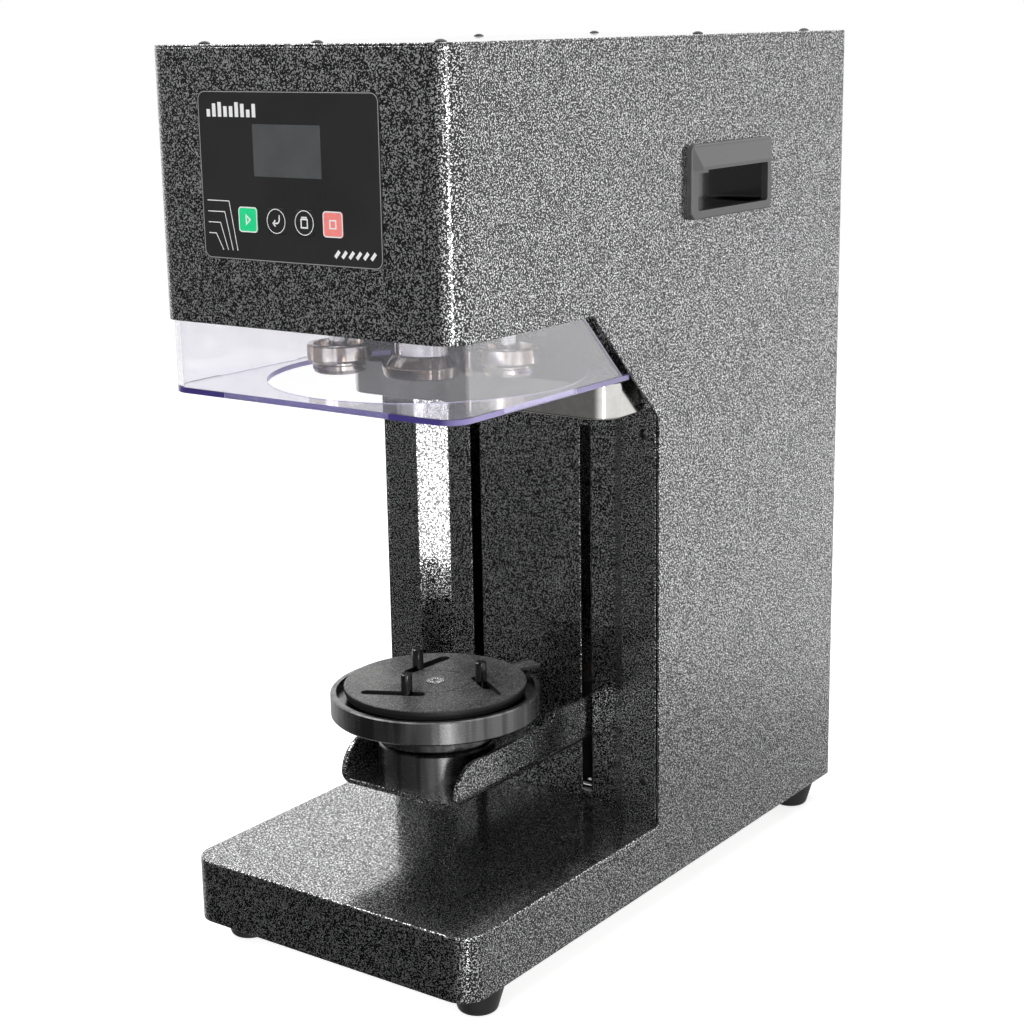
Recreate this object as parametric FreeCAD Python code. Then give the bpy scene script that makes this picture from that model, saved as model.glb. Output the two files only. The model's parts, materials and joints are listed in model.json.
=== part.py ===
import FreeCAD, Part

import math
import os

# Automatic can seamer, bench-top. Millimetres, +Z up, front faces -Y.
# Origin: centre of the footprint, on the surface that the feet stand on.

V = FreeCAD.Vector
UP = V(0, 0, 1)

# ---- body -------------------------------------------------------------------
WIDTH = 215.0
DEPTH = 433.0
HEIGHT = 545.0
FOOT_H = 18.0
BASE_TOP = 58.0
HEAD_BOTTOM = 391.4
SHEET = 1.5
CORNER_R = 15.5
FRONT_PROUD = 0.9
REAR_PROUD = 3.0
FRONT = -(DEPTH + REAR_PROUD - FRONT_PROUD) / 2
REAR = FRONT + DEPTH
HALF = WIDTH / 2
INNER = HALF - SHEET
COLUMN_Y = FRONT + 200.0
CHAMFER_Y = FRONT + 129.6
CHAMFER_Z = HEAD_BOTTOM - (COLUMN_Y - CHAMFER_Y)
COVER_Z = HEIGHT - SHEET
BACK_Y = REAR - SHEET

# ---- column cover and its slots ---------------------------------------------
COVER_STEP = 15.0
COVER_HALF = 65.5
SLOT_X = 43.5
SLOT_W = 8.5
SLOT_Z0 = 62.5
SLOT_Z1 = 307.6

# ---- seaming axis, chuck and rolls ------------------------------------------
AXIS_Y = FRONT + 112.0
CHUCK_Z = 351.6
CHUCK_R = 26.0
CHUCK_FLANGE = 7.2
CHUCK_TOP = 364.9
SHAFT_R = 12.0
NOSE_R = 18.0
ROLL_BOTTOM = 352.6
ROLL_TOP = 370.0
ROLL_PIN_R = 4.25
RUN = 0.05
ROLL_LEFT = (-48.0, FRONT + 90.0)
ROLL_RIGHT = (46.0, FRONT + 130.0)
PIVOT_LEFT = (-73.9, FRONT + 146.4)
PIVOT_RIGHT = (33.6, FRONT + 161.7)
PIVOT_R = 5.0
CAM_Y = FRONT + 207.0
CAM_BASE_R = 33.7
CAM_LIFT = 8.4
CAM_Z = 397.0
CAM_T = 8.0
FOLLOWER_X = 40.0
FOLLOWER_R = 6.0
ARM_Z = 408.5
ARM_T = 10.0

# ---- plate that carries the seaming head ------------------------------------
PLATE_Z = 420.0
PLATE_T = 10.0
MOTOR_Y = FRONT + 335.0
MOTOR_W = 86.0
PULLEY_Z = 495.0
PULLEY_H = 16.0
SPINDLE_PULLEY_R = 24.0
MOTOR_PULLEY_R = 14.0
BELT_T = 2.0

# ---- lift -------------------------------------------------------------------
ARM_HALF = 45.0
ARM_SHEET = 3.0
ARM_BOTTOM = 97.0
ARM_FRONT = FRONT + 72.5
ARM_NOSE_R = 21.0
ARM_LOW = 25.5
ARM_HIGH = 31.0
ARM_STEP_Y = FRONT + 171.0
ARM_REAR = 14.0
GUIDE_Y = FRONT + 256.0
GUIDE_X = 26.0
GUIDE_R = 6.0
SCREW_R = 5.0
CROSS_Z = 326.0
CROSS_T = 10.0

# ---- turntable --------------------------------------------------------------
HOUSING_TOP = 123.5
CUP_BOTTOM = 140.8
CUP_FLOOR = 150.8
RIM_TOP = 155.5
CUP_R = 65.0
CUP_BORE = 61.5
TABLE_R = 56.5
TABLE_Z = 156.6
TABLE_TOP = 159.6
PIN_R = 3.5
PIN_TOP = TABLE_TOP + 13.0
PIN_RADIUS = 28.4
GROOVE_W = 7.5
GROOVE_OUT = 45.3
GROOVE_IN = 26.0
GROOVE_TURN = 44.5
GROOVE_START = 241.0
STROKE_TURN = 50.0

# ---- splash tray ------------------------------------------------------------
TRAY_HALF = 100.0
TRAY_FRONT = FRONT + 155.0
TRAY_Z = (325.0, 346.5)
TRAY_CORNER_R = 15.0

# ---- shield -----------------------------------------------------------------
SHIELD_HALF = 105.5
SHIELD_T = 3.0
SHIELD_Z = 349.0
SHIELD_FRONT = FRONT + 2.0
SHIELD_REAR = FRONT + 165.5
SHIELD_FLOOR_REAR = FRONT + 169.5
SHIELD_CORNER_R = 15.0
SHIELD_HOLE_R = 93.7
SHIELD_TAB_X = (-60.0, 60.0)
SHIELD_TAB_Y = (FRONT + 45.0, FRONT + 115.0)


# ---- shape helpers ----------------------------------------------------------
def box(x0, x1, y0, y1, z0, z1):
    return Part.makeBox(x1 - x0, y1 - y0, z1 - z0, V(x0, y0, z0))


def cyl(x, y, z0, z1, r):
    return Part.makeCylinder(r, z1 - z0, V(x, y, z0))


def cyl_y(x, z, y0, y1, r):
    return Part.makeCylinder(r, y1 - y0, V(x, y0, z), V(0, 1, 0))


def ring(x, y, z0, z1, outer, inner):
    return cyl(x, y, z0, z1, outer).cut(cyl(x, y, z0 - 1, z1 + 1, inner))


def prism(points, direction):
    loop = points + [points[0]]
    return Part.Face(Part.makePolygon(loop)).extrude(direction)


def side_prism(points, x0, x1):
    """Outline in (y, z), extruded across the machine."""
    return prism([V(x0, y, z) for y, z in points], V(x1 - x0, 0, 0))


def plan_prism(points, z0, z1):
    """Outline in (x, y), extruded upwards."""
    return prism([V(x, y, z0) for x, y in points], V(0, 0, z1 - z0))


def turned(x, y, profile):
    """Closed outline of (radius, height), revolved about a vertical axis."""
    points = [V(x + r, y, z) for r, z in profile]
    face = Part.Face(Part.makePolygon(points + [points[0]]))
    return face.revolve(V(x, y, 0), UP, 360)


def stadium(a, b, r, z0, z1):
    """Round-ended bar of half width r from a to b."""
    start = V(a[0], a[1], z0)
    end = V(b[0], b[1], z0)
    along = (end - start).normalize() * r
    across = V(-along.y, along.x, 0)
    edges = [
        Part.makeLine(start + across, end + across),
        Part.Arc(end + across, end + along, end - across).toShape(),
        Part.makeLine(end - across, start - across),
        Part.Arc(start - across, start - along, start + across).toShape(),
    ]
    return Part.Face(Part.Wire(edges)).extrude(V(0, 0, z1 - z0))


def fillet_where(shape, radius, wanted):
    edges = [edge for edge in shape.Edges if wanted(edge)]
    return shape.makeFillet(radius, edges)


def chamfer_where(shape, size, wanted):
    edges = [edge for edge in shape.Edges if wanted(edge)]
    return shape.makeChamfer(size, edges)


def middle(edge):
    return edge.valueAt((edge.FirstParameter + edge.LastParameter) / 2)


def runs_along(edge, axis):
    """True where a straight edge is parallel to the x, y or z axis."""
    if len(edge.Vertexes) != 2:
        return False
    span = edge.Vertexes[1].Point - edge.Vertexes[0].Point
    return edge.Curve.TypeId == "Part::GeomLine" and abs(abs(span[axis]) - span.Length) < 1e-6


def round_box(x0, x1, y0, y1, z0, z1, r, axis=2):
    """Box whose four edges along one axis are rounded."""
    block = box(x0, x1, y0, y1, z0, z1)
    return fillet_where(block, r, lambda edge: runs_along(edge, axis))


def front_round_box(half, y0, y1, z0, z1, r):
    """Box rounded at its two front vertical corners only."""
    block = box(-half, half, y0, y1, z0, z1)
    return fillet_where(block, r, lambda edge: runs_along(edge, 2) and middle(edge).y < y0 + 1)


def fuse(first, *others):
    return first.fuse(list(others)).removeSplitter()


def group(shapes):
    """Identical fasteners, kept as separate solids of one node."""
    return Part.makeCompound(shapes)


def polar(r, degrees, centre=(0.0, AXIS_Y)):
    angle = math.radians(degrees)
    return (centre[0] + r * math.cos(angle), centre[1] + r * math.sin(angle))


def save(name, shape):
    for solid in shape.Solids:
        if not solid.isValid():
            raise ValueError(name + " has an invalid solid")
    if not shape.Solids:
        raise ValueError(name + " has no solid")
    kept = shape.Solids[0] if len(shape.Solids) == 1 else Part.makeCompound(shape.Solids)
    kept.exportStep("parts/" + name + ".step")
    print(name, len(shape.Solids), "solid(s)", round(shape.Volume / 1000, 2), "cm3")


# ---- sheet-metal body -------------------------------------------------------
PANEL_CUT = (-46.0, 42.0, 437.0, 512.0)
HANDLE_Y = (FRONT + 230.5, FRONT + 328.5)
HANDLE_Z = (436.5, 481.0)
HANDLE_GRIP_Y = (FRONT + 237.5, FRONT + 323.0)
HANDLE_GRIP_Z = (441.6, 466.0)
HANDLE_WALL = 2.0
HANDLE_CUT_MARGIN = 3.0
INLET_X = 62.0
INLET_Z = 96.0
SWITCH_Z = 136.0
ROCKER_PIVOT_Y = REAR - 4.0
ROCKER_PIN_R = 1.2
ROCKER_TILT = 9.0
FOOT_R = 16.2
FOOT_TREAD_R = 11.5
FOOT_XY = [(sx * 89.5, FRONT + y) for sx in (-1, 1) for y in (31.0, 409.0)]
TOP_SCREWS = [(sx * 84.0, FRONT + y) for sx in (-1, 1) for y in (25.0, 282.0, 420.0)] + [(0.0, FRONT + 25.0)]
BACK_SCREWS = [(sx * 99.5, z) for sx in (-1, 1) for z in (40.0, 210.0, 370.0, 520.0)]
FLANGE_SCREWS = [(sx * 96.5, z) for sx in (-1, 1) for z in (86.5, 310.0)]
CASE_HOLE_R = 1.7
SEAM_R = 0.45


def throat():
    """The open working space between base, column and head."""
    return side_prism([
        (FRONT - 5, BASE_TOP),
        (COLUMN_Y, BASE_TOP),
        (COLUMN_Y, CHAMFER_Z),
        (CHAMFER_Y, HEAD_BOTTOM),
        (FRONT - 5, HEAD_BOTTOM),
    ], -HALF - 5, HALF + 5)


def casing():
    """Wrapped and welded sheet shell: front, sides and base in one."""
    body = front_round_box(HALF, FRONT, BACK_Y, FOOT_H, COVER_Z, CORNER_R).cut(throat())

    def base_rim(edge):
        point = middle(edge)
        return abs(point.z - BASE_TOP) < 0.01 and point.y < COLUMN_Y - 1 and not on_throat_rear(edge)

    def on_throat_rear(edge):
        return abs(middle(edge).y - COLUMN_Y) < 0.01

    body = fillet_where(body, 1.0, base_rim)
    body = fillet_where(body, SEAM_R, is_lid_seam)
    inner_r = CORNER_R - SHEET
    deck_rear = COLUMN_Y + COVER_STEP + SHEET
    floor_void = front_round_box(INNER, FRONT + SHEET, REAR, FOOT_H - 1, BASE_TOP - SHEET, inner_r)
    column_void = box(-INNER, INNER, deck_rear, REAR, BASE_TOP - SHEET - 1, COVER_Z + 1)
    throat_void = box(-INNER, INNER, COLUMN_Y - 1, deck_rear + 1, BASE_TOP, COVER_Z + 1)
    side_void = side_prism([
        (CHAMFER_Y - 2, HEAD_BOTTOM - 1),
        (COLUMN_Y + 1, CHAMFER_Z - 4),
        (COLUMN_Y + 1, HEAD_BOTTOM + 2),
        (CHAMFER_Y - 2, HEAD_BOTTOM + 2),
    ], -INNER, INNER)
    head_void = front_round_box(INNER, FRONT + SHEET, REAR, HEAD_BOTTOM - 1, COVER_Z + 1, inner_r)
    for void in (floor_void, column_void, throat_void, side_void, head_void):
        body = body.cut(void)
    body = body.fuse([top_flange(), rear_flanges()])
    return body.cut(casing_holes()).removeSplitter()


def top_flange():
    """Folded rim inside the top edge, which the lid is screwed to."""
    rim = front_round_box(INNER, FRONT + SHEET, BACK_Y, COVER_Z - SHEET, COVER_Z, CORNER_R - SHEET)
    return rim.cut(box(-76, 76, FRONT + 32, REAR, COVER_Z - SHEET - 1, COVER_Z + 1))


def rear_flanges():
    flange = box(92.5, INNER, BACK_Y - SHEET, BACK_Y, FOOT_H + SHEET, COVER_Z - SHEET)
    return flange.fuse(flange.mirror(V(0, 0, 0), V(1, 0, 0)))


def casing_holes():
    """Screw holes, the window behind the membrane keys and the grip cut-outs."""
    cuts = [cyl(x, y, COVER_Z - 5, COVER_Z + 5, CASE_HOLE_R) for x, y in TOP_SCREWS]
    cuts += [cyl_y(x, z, BACK_Y - 5, BACK_Y + 5, CASE_HOLE_R) for x, z in BACK_SCREWS]
    x0, x1, z0, z1 = PANEL_CUT
    cuts.append(box(x0, x1, FRONT - 5, FRONT + 5, z0, z1))
    m = HANDLE_CUT_MARGIN
    cuts.append(box(-HALF - 5, HALF + 5, HANDLE_Y[0] + m, HANDLE_Y[1] - m, HANDLE_Z[0] + m, HANDLE_Z[1] - m))
    return Part.makeCompound(cuts)


def is_lid_seam(edge):
    """Outer edge, at the sides and front, where the lid meets the casing."""
    point = middle(edge)
    return abs(point.z - COVER_Z) < 0.01 and point.y < BACK_Y - 1


def top_cover():
    lid = front_round_box(HALF, FRONT, REAR, COVER_Z, HEIGHT, CORNER_R)
    lid = fillet_where(lid, 0.6, lambda edge: abs(middle(edge).z - HEIGHT) < 0.01)
    lid = fillet_where(lid, SEAM_R, is_lid_seam)
    for x, y in TOP_SCREWS:
        lid = lid.cut(cyl(x, y, COVER_Z - 1, HEIGHT + 1, CASE_HOLE_R))
    return lid


def back_panel():
    """Rear sheet with two banks of cooling slots and the mains openings."""
    panel = box(-HALF, HALF, BACK_Y, REAR, FOOT_H, COVER_Z)
    cuts = [cyl_y(x, z, BACK_Y - 1, REAR + 1, CASE_HOLE_R) for x, z in BACK_SCREWS]
    for bank in (-1, 1):
        for row in range(8):
            z = 440.0 + 10.0 * row
            cuts.append(round_box(bank * 42 - 26, bank * 42 + 26, BACK_Y - 1, REAR + 1, z, z + 3.6, 1.75, 1))
    for row in range(6):
        z = 262.0 + 10.0 * row
        cuts.append(round_box(-30, 30, BACK_Y - 1, REAR + 1, z, z + 3.6, 1.75, 1))
    cuts.append(box(INLET_X - 14, INLET_X + 14, BACK_Y - 1, REAR + 1, INLET_Z - 10.5, INLET_Z + 10.5))
    cuts.append(box(INLET_X - 10, INLET_X + 10, BACK_Y - 1, REAR + 1, SWITCH_Z - 7, SWITCH_Z + 7))
    return panel.cut(Part.makeCompound(cuts))


def bottom_plate():
    plate = front_round_box(INNER - 0.1, FRONT + SHEET + 0.1, BACK_Y - SHEET - 0.1,
                            FOOT_H, FOOT_H + SHEET, CORNER_R - SHEET - 0.1)
    for x, y in FOOT_XY:
        plate = plate.cut(cyl(x, y, FOOT_H - 1, FOOT_H + 3, 2.2))
    for row in range(7):
        y = 60.0 + 9.0 * row
        plate = plate.cut(round_box(-30, 30, y, y + 4.0, FOOT_H - 1, FOOT_H + 3, 1.9))
    return plate


def column_cover():
    """Folded front of the column: side flanges, 45-degree steps and a recessed
    panel with the two slots that the lift arm runs in."""
    y = COLUMN_Y - 0.5
    t = SHEET
    k = t * math.tan(math.radians(22.5))
    outer = [(105.0, y), (COVER_HALF + COVER_STEP, y), (COVER_HALF, y + COVER_STEP)]
    inner = [(COVER_HALF - k, y + COVER_STEP + t), (COVER_HALF + COVER_STEP + k, y + t), (105.0, y + t)]
    right = outer + [(COVER_HALF - 5, y + COVER_STEP), (COVER_HALF - 5, y + COVER_STEP + t)] + inner
    left = [(-x, py) for x, py in right]
    z0, z1 = BASE_TOP + 0.2, HEAD_BOTTOM
    panel = box(-COVER_HALF + 4, COVER_HALF - 4, y + COVER_STEP, y + COVER_STEP + t, z0, z1)
    sheet = fuse(panel, plan_prism(right, z0, z1), plan_prism(left, z0, z1))
    for side in (-1, 1):
        x = side * SLOT_X
        sheet = sheet.cut(box(x - SLOT_W / 2, x + SLOT_W / 2, y, y + 30, SLOT_Z0, SLOT_Z1))
    for x, z in FLANGE_SCREWS:
        sheet = sheet.cut(cyl_y(x, z, y - 1, y + 5, CASE_HOLE_R))
    return sheet


def head_floor():
    """Underside of the head, with the spindle hole and room for the roll pins."""
    z0, z1 = HEAD_BOTTOM, HEAD_BOTTOM + 2.0
    floor = front_round_box(INNER - 0.1, FRONT + SHEET + 0.1, COLUMN_Y + 20, z0, z1, CORNER_R - SHEET - 0.1)
    floor = floor.cut(cyl(0, AXIS_Y, z0 - 1, z1 + 1, 31.0))
    for x, y in (ROLL_LEFT, ROLL_RIGHT):
        floor = floor.cut(cyl(x * 0.92, y + (AXIS_Y - y) * 0.08, z0 - 1, z1 + 1, 14.0))
    return floor


def splash_tray():
    """Polished tray, D-shaped in plan, that stands out from the column."""
    half, r, t = TRAY_HALF, TRAY_CORNER_R, SHEET
    y0, y1 = TRAY_FRONT, COLUMN_Y - 0.5
    z0, z1 = TRAY_Z
    tray = front_round_box(half, y0, y1, z0, z1, r)
    tray = fillet_where(tray, 1.5, lambda edge: abs(middle(edge).z - z0) < 0.01 and middle(edge).y < y1 - 0.5)
    return tray.cut(front_round_box(half - t, y0 + t, y1 + 1, z0 + t, z1 + 1, r - t))


# ---- clear shield -----------------------------------------------------------
def shield_trim():
    """Everything behind the slanted rear edge, parallel to the column's chamfer."""
    top = SHIELD_REAR - (HEAD_BOTTOM - SHIELD_Z)
    return side_prism([
        (SHIELD_REAR, SHIELD_Z - 1),
        (SHIELD_REAR, SHIELD_Z),
        (top, HEAD_BOTTOM),
        (top, HEAD_BOTTOM + 5),
        (REAR, HEAD_BOTTOM + 5),
        (REAR, SHIELD_Z - 1),
    ], -HALF, HALF)


def shield_tabs(play):
    """Tabs of the wall that stand in notches along the edge of the floor plate."""
    z0, z1 = SHIELD_Z - play, SHIELD_Z + SHIELD_T
    x0, x1 = SHIELD_TAB_X
    y0, y1 = SHIELD_TAB_Y
    inner = SHIELD_HALF - SHIELD_T - play
    front = box(x0 - play, x1 + play, SHIELD_FRONT - play, SHIELD_FRONT + SHIELD_T + play, z0, z1)
    right = box(inner, SHIELD_HALF + play, y0 - play, y1 + play, z0, z1)
    return [front, right, right.mirror(V(0, 0, 0), V(1, 0, 0))]


def shield_wall():
    z0 = SHIELD_Z + SHIELD_T
    inner_r = SHIELD_CORNER_R - SHIELD_T
    outer = front_round_box(SHIELD_HALF, SHIELD_FRONT, REAR, z0, HEAD_BOTTOM - 0.1, SHIELD_CORNER_R)
    inner = front_round_box(SHIELD_HALF - SHIELD_T, SHIELD_FRONT + SHIELD_T, REAR + 1,
                            z0 - 1, HEAD_BOTTOM + 1, inner_r)
    return fuse(outer.cut(inner).cut(shield_trim()), *shield_tabs(0.0))


def shield_floor():
    """Plate under the foot of the wall, open for the chuck and rolls."""
    plate = front_round_box(SHIELD_HALF, SHIELD_FRONT, SHIELD_FLOOR_REAR, SHIELD_Z, SHIELD_Z + SHIELD_T,
                            SHIELD_CORNER_R)
    plate = plate.cut(cyl(0, AXIS_Y, SHIELD_Z - 1, SHIELD_Z + 5, SHIELD_HOLE_R))
    for tab in shield_tabs(0.1):
        plate = plate.cut(tab)
    return plate


# ---- grips, panel, electrics ------------------------------------------------
GRIP_DEPTH = 22.0
GRIP_PROUD = 4.0
HOOD_PROUD = 3.6
HOOD_END = 7.0


def handle(side):
    """Moulded grip set into a side panel: flange round an open pocket, with a
    sloped hood above it that runs out in a facet at each end."""
    (y0, y1), (z0, z1) = HANDLE_Y, HANDLE_Z
    (gy0, gy1), (gz0, gz1) = HANDLE_GRIP_Y, HANDLE_GRIP_Z
    face = HALF + GRIP_PROUD
    flange = round_box(HALF, face, y0, y1, z0, z1, 4.5, 0)
    flange = chamfer_where(flange, 0.7, lambda edge: middle(edge).x > face - 0.01)
    w = HANDLE_WALL
    pocket = box(HALF - GRIP_DEPTH, HALF + 1, gy0 - w, gy1 + w, gz0 - w, gz1 + w)
    grip = flange.fuse(pocket).removeSplitter()
    grip = grip.cut(round_box(HALF - GRIP_DEPTH + w, HALF + 9, gy0, gy1, gz0, gz1, 2.0, 0))
    step = box(HALF - 3, face - 0.7, gy0 - 0.5, gy0 + 13.0, gz1 - 2.2, gz1 + 0.5)
    grip = fuse(grip, grip_hood(y0 + 1.5, y1 - 1.5, gz1, z1 - 1.5, face), step)
    if side < 0:
        grip = grip.mirror(V(0, 0, 0), V(1, 0, 0))
    return grip


def grip_hood(y0, y1, z0, z1, x):
    """Wedge that leans out from the flange towards the top edge of the opening."""
    ridge = x + HOOD_PROUD
    outline = [(x - 1, z0), (ridge, z0), (ridge, z0 + 2.0), (x, z1), (x - 1, z1)]
    hood = prism([V(px, y0, pz) for px, pz in outline], V(0, y1 - y0, 0))
    for end, inward in ((y0, 1), (y1, -1)):
        facet = [(x, end), (ridge + 1, end + inward * HOOD_END), (ridge + 1, end - inward), (x, end - inward)]
        hood = hood.cut(plan_prism(facet, z0 - 1, z1 + 1))
    return hood


PANEL_X = (-66.5, 62.5)
PANEL_Z = (429.0, 520.5)
OVERLAY_T = 0.6
GLASS_X = (-26.5, 22.0)
GLASS_Z = (475.0, 503.0)
KEY_W = 13.8
KEY_Z = 451.4
KEYS = {"key_start": -32.4, "key_enter": -11.7, "key_mode": 8.6, "key_stop": 28.8}
KEY_TRAVEL = 0.4


def control_overlay():
    """Membrane sheet on the front, with the key and display windows."""
    y0, y1 = FRONT - OVERLAY_T, FRONT
    sheet = round_box(*PANEL_X, y0, y1, *PANEL_Z, 5.0, 1)
    half = KEY_W / 2 + 0.15
    for x in KEYS.values():
        sheet = sheet.cut(round_box(x - half, x + half, y0 - 1, y1 + 1, KEY_Z - half, KEY_Z + half, 2.0, 1))
    play = 0.1
    (x0, x1), (z0, z1) = GLASS_X, GLASS_Z
    return sheet.cut(box(x0 - play, x1 + play, y0 - 1, y1 + 1, z0 - play, z1 + play))


def display_glass():
    return box(GLASS_X[0], GLASS_X[1], FRONT - OVERLAY_T - 0.05, FRONT + 0.4, GLASS_Z[0], GLASS_Z[1])


def key(x):
    """Key cap with the stem that presses its switch."""
    half = KEY_W / 2
    cap = round_box(x - half, x + half, FRONT - FRONT_PROUD, FRONT + 0.9, KEY_Z - half, KEY_Z + half, 2.0, 1)
    cap = fillet_where(cap, 0.25, lambda edge: abs(middle(edge).y - FRONT + FRONT_PROUD) < 0.01)
    return cap.fuse(cyl_y(x, KEY_Z, FRONT + 0.5, FRONT + 3.0, 1.75)).removeSplitter()


BOARD_Y = FRONT + 8.0


def control_board():
    """Circuit board with display module, key switches and stand-offs."""
    board = box(-62, 58, BOARD_Y, BOARD_Y + 1.6, 433, 516)
    module = box(GLASS_X[0] - 3, GLASS_X[1] + 3, FRONT + 2.0, BOARD_Y, GLASS_Z[0] - 4, GLASS_Z[1] + 4)
    switches = [box(x - 3, x + 3, FRONT + 3.6, BOARD_Y, KEY_Z - 3, KEY_Z + 3) for x in KEYS.values()]
    posts = [cyl_y(x, z, FRONT + SHEET, BOARD_Y, 3.0) for x in (-56, 52) for z in (440, 509)]
    rear = BOARD_Y + 1.6
    chips = [box(-40, -22, rear, rear + 2.4, 480, 498), box(10, 22, rear, rear + 7.4, 445, 475)]
    return fuse(board, module, *switches, *posts, *chips)


def power_inlet():
    """Moulded mains module: three-pin socket below, well of the rocker above."""
    x, z, zs = INLET_X, INLET_Z, SWITCH_Z
    flange = round_box(x - 24, x + 24, REAR, REAR + REAR_PROUD, z - 15, zs + 12, 4.0, 1)
    shell = box(x - 13.6, x + 13.6, REAR - 26, REAR + 1, z - 10.1, z + 10.1)
    well = box(x - 9.6, x + 9.6, REAR - 18, REAR + 1, zs - 6.6, zs + 6.6)
    module = fuse(flange, shell, well)
    module = module.cut(box(x - 12, x + 12, REAR - 16, REAR + 5, z - 8.2, z + 8.2))
    module = module.cut(box(x - 8, x + 8, REAR - 10, REAR + 5, zs - 5.5, zs + 5.5))
    pins = [box(x + dx - 1, x + dx + 1, REAR - 17, REAR - 5, z + dz - 2, z + dz + 2)
            for dx, dz in ((-7, -2), (7, -2), (0, 3))]
    pins.append(cyl(x, ROCKER_PIVOT_Y, zs - 6.0, zs + 6.0, ROCKER_PIN_R))
    return fuse(module, *pins)


def power_rocker():
    """Rocker with a shallow V face, resting on its off side."""
    x, z, y = INLET_X, SWITCH_Z, ROCKER_PIVOT_Y
    outline = [(x - 7.2, y - 1.5), (x, y - 4), (x + 7.2, y - 1.5),
               (x + 6.4, y + 5.8), (x, y + 4.4), (x - 6.4, y + 5.8)]
    rocker = prism([V(px, py, z - 5.2) for px, py in outline], V(0, 0, 10.4))
    rocker.rotate(V(x, y, z), UP, -ROCKER_TILT)
    return rocker.cut(cyl(x, y, z - 6, z + 6, ROCKER_PIN_R + RUN))


def foot(x, y):
    """Tapered rubber foot with a recess for its screw."""
    rim = FOOT_H - 2
    body = fuse(Part.makeCone(FOOT_TREAD_R, FOOT_R, rim, V(x, y, 0)), cyl(x, y, rim, FOOT_H, FOOT_R))
    body = fillet_where(body, 3.0, lambda edge: middle(edge).z < 0.01)
    body = body.cut(cyl(x, y, -1, 7, 5.6))
    return body.cut(cyl(x, y, 5, FOOT_H + 1, 2.2))


# ---- fasteners --------------------------------------------------------------
def dome_screw(head_r, head_h, shank_r, length):
    """Low-dome screw standing on z = 0, shank down."""
    rise = head_h - 0.4
    ball_r = (head_r ** 2 + rise ** 2) / (2 * rise)
    cap = Part.makeCylinder(head_r, head_h, V(0, 0, 0))
    cap = cap.common(Part.makeSphere(ball_r, V(0, 0, head_h - ball_r)))
    socket = plan_prism([polar(1.3, 60 * i, (0, 0)) for i in range(6)], head_h - 1.2, head_h + 1)
    shank = Part.makeCylinder(shank_r, length, V(0, 0, -length))
    return cap.cut(socket).fuse(shank).removeSplitter()


def facing(shape, normal, point):
    """Turn a screw from +Z to the given outward normal and place its seat."""
    turned_screw = shape.copy()
    turned_screw.Placement = FreeCAD.Placement(V(*point), FreeCAD.Rotation(UP, V(*normal)))
    return turned_screw


def case_screws():
    """Black dome-head screws of the lid, the back panel and the column cover."""
    screw = dome_screw(3.3, 1.6, 1.6, 4.5)
    screws = [facing(screw, (0, 0, 1), (x, y, HEIGHT)) for x, y in TOP_SCREWS]
    screws += [facing(screw, (0, 1, 0), (x, REAR, z)) for x, z in BACK_SCREWS]
    screws += [facing(screw, (0, -1, 0), (x, COLUMN_Y - 0.5, z)) for x, z in FLANGE_SCREWS]
    return group(screws)


def foot_screws():
    screw = dome_screw(4.5, 2.4, 2.1, 16.0)
    return group([facing(screw, (0, 0, -1), (x, y, 7.0)) for x, y in FOOT_XY])


# ---- seaming head -----------------------------------------------------------
MOTOR_BOLT = 34.5
HOUSING_R = 29.0
BEARING_R = 21.0


def seaming_plate():
    """Thick plate across the head that the spindle, arms and motors hang from."""
    plate = box(-INNER, INNER, FRONT + 24, FRONT + 400, PLATE_Z, PLATE_Z + PLATE_T)
    holes = [cyl(0, AXIS_Y, PLATE_Z - 1, PLATE_Z + 20, HOUSING_R + 0.1)]
    holes.append(cyl(0, CAM_Y, PLATE_Z - 1, PLATE_Z + 20, 6.5))
    holes += [cyl(x, y, PLATE_Z - 1, PLATE_Z + 20, PIVOT_R + RUN) for x, y in (PIVOT_LEFT, PIVOT_RIGHT)]
    holes += [round_box(sx * 80 - 14, sx * 80 + 14, FRONT + 250, FRONT + 380,
                        PLATE_Z - 1, PLATE_Z + 20, 6.0) for sx in (-1, 1)]
    return plate.cut(Part.makeCompound(holes))


def spindle_housing():
    """Flanged cartridge that holds the two spindle bearings."""
    z0, z1 = 399.0, 492.0
    top = PLATE_Z + PLATE_T
    profile = [(BEARING_R, z0), (HOUSING_R, z0), (HOUSING_R, top), (42.0, top),
               (42.0, top + 8), (34.0, top + 8), (32.0, z1), (BEARING_R, z1)]
    housing = turned(0, AXIS_Y, profile)
    heads = [cyl(*polar(37.5, 45 + 90 * i), top + 8, top + 13, 3.5) for i in range(4)]
    return fuse(housing, *heads)


def spindle_bearings():
    return group([ring(0, AXIS_Y, z, z + 14, BEARING_R - 0.02, SHAFT_R + RUN) for z in (400.0, 477.0)])


def spindle_shaft():
    """Visible nose below, turned down for the bearings, pulley seat on top."""
    shoulder, top, thread_end = 394.0, 515.0, 392.0
    profile = [(4.0, CHUCK_TOP), (NOSE_R, CHUCK_TOP), (NOSE_R, shoulder), (SHAFT_R, shoulder + 3.0),
               (SHAFT_R, top), (0.0, top), (0.0, thread_end), (4.0, thread_end)]
    return turned(0, AXIS_Y, profile)


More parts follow.
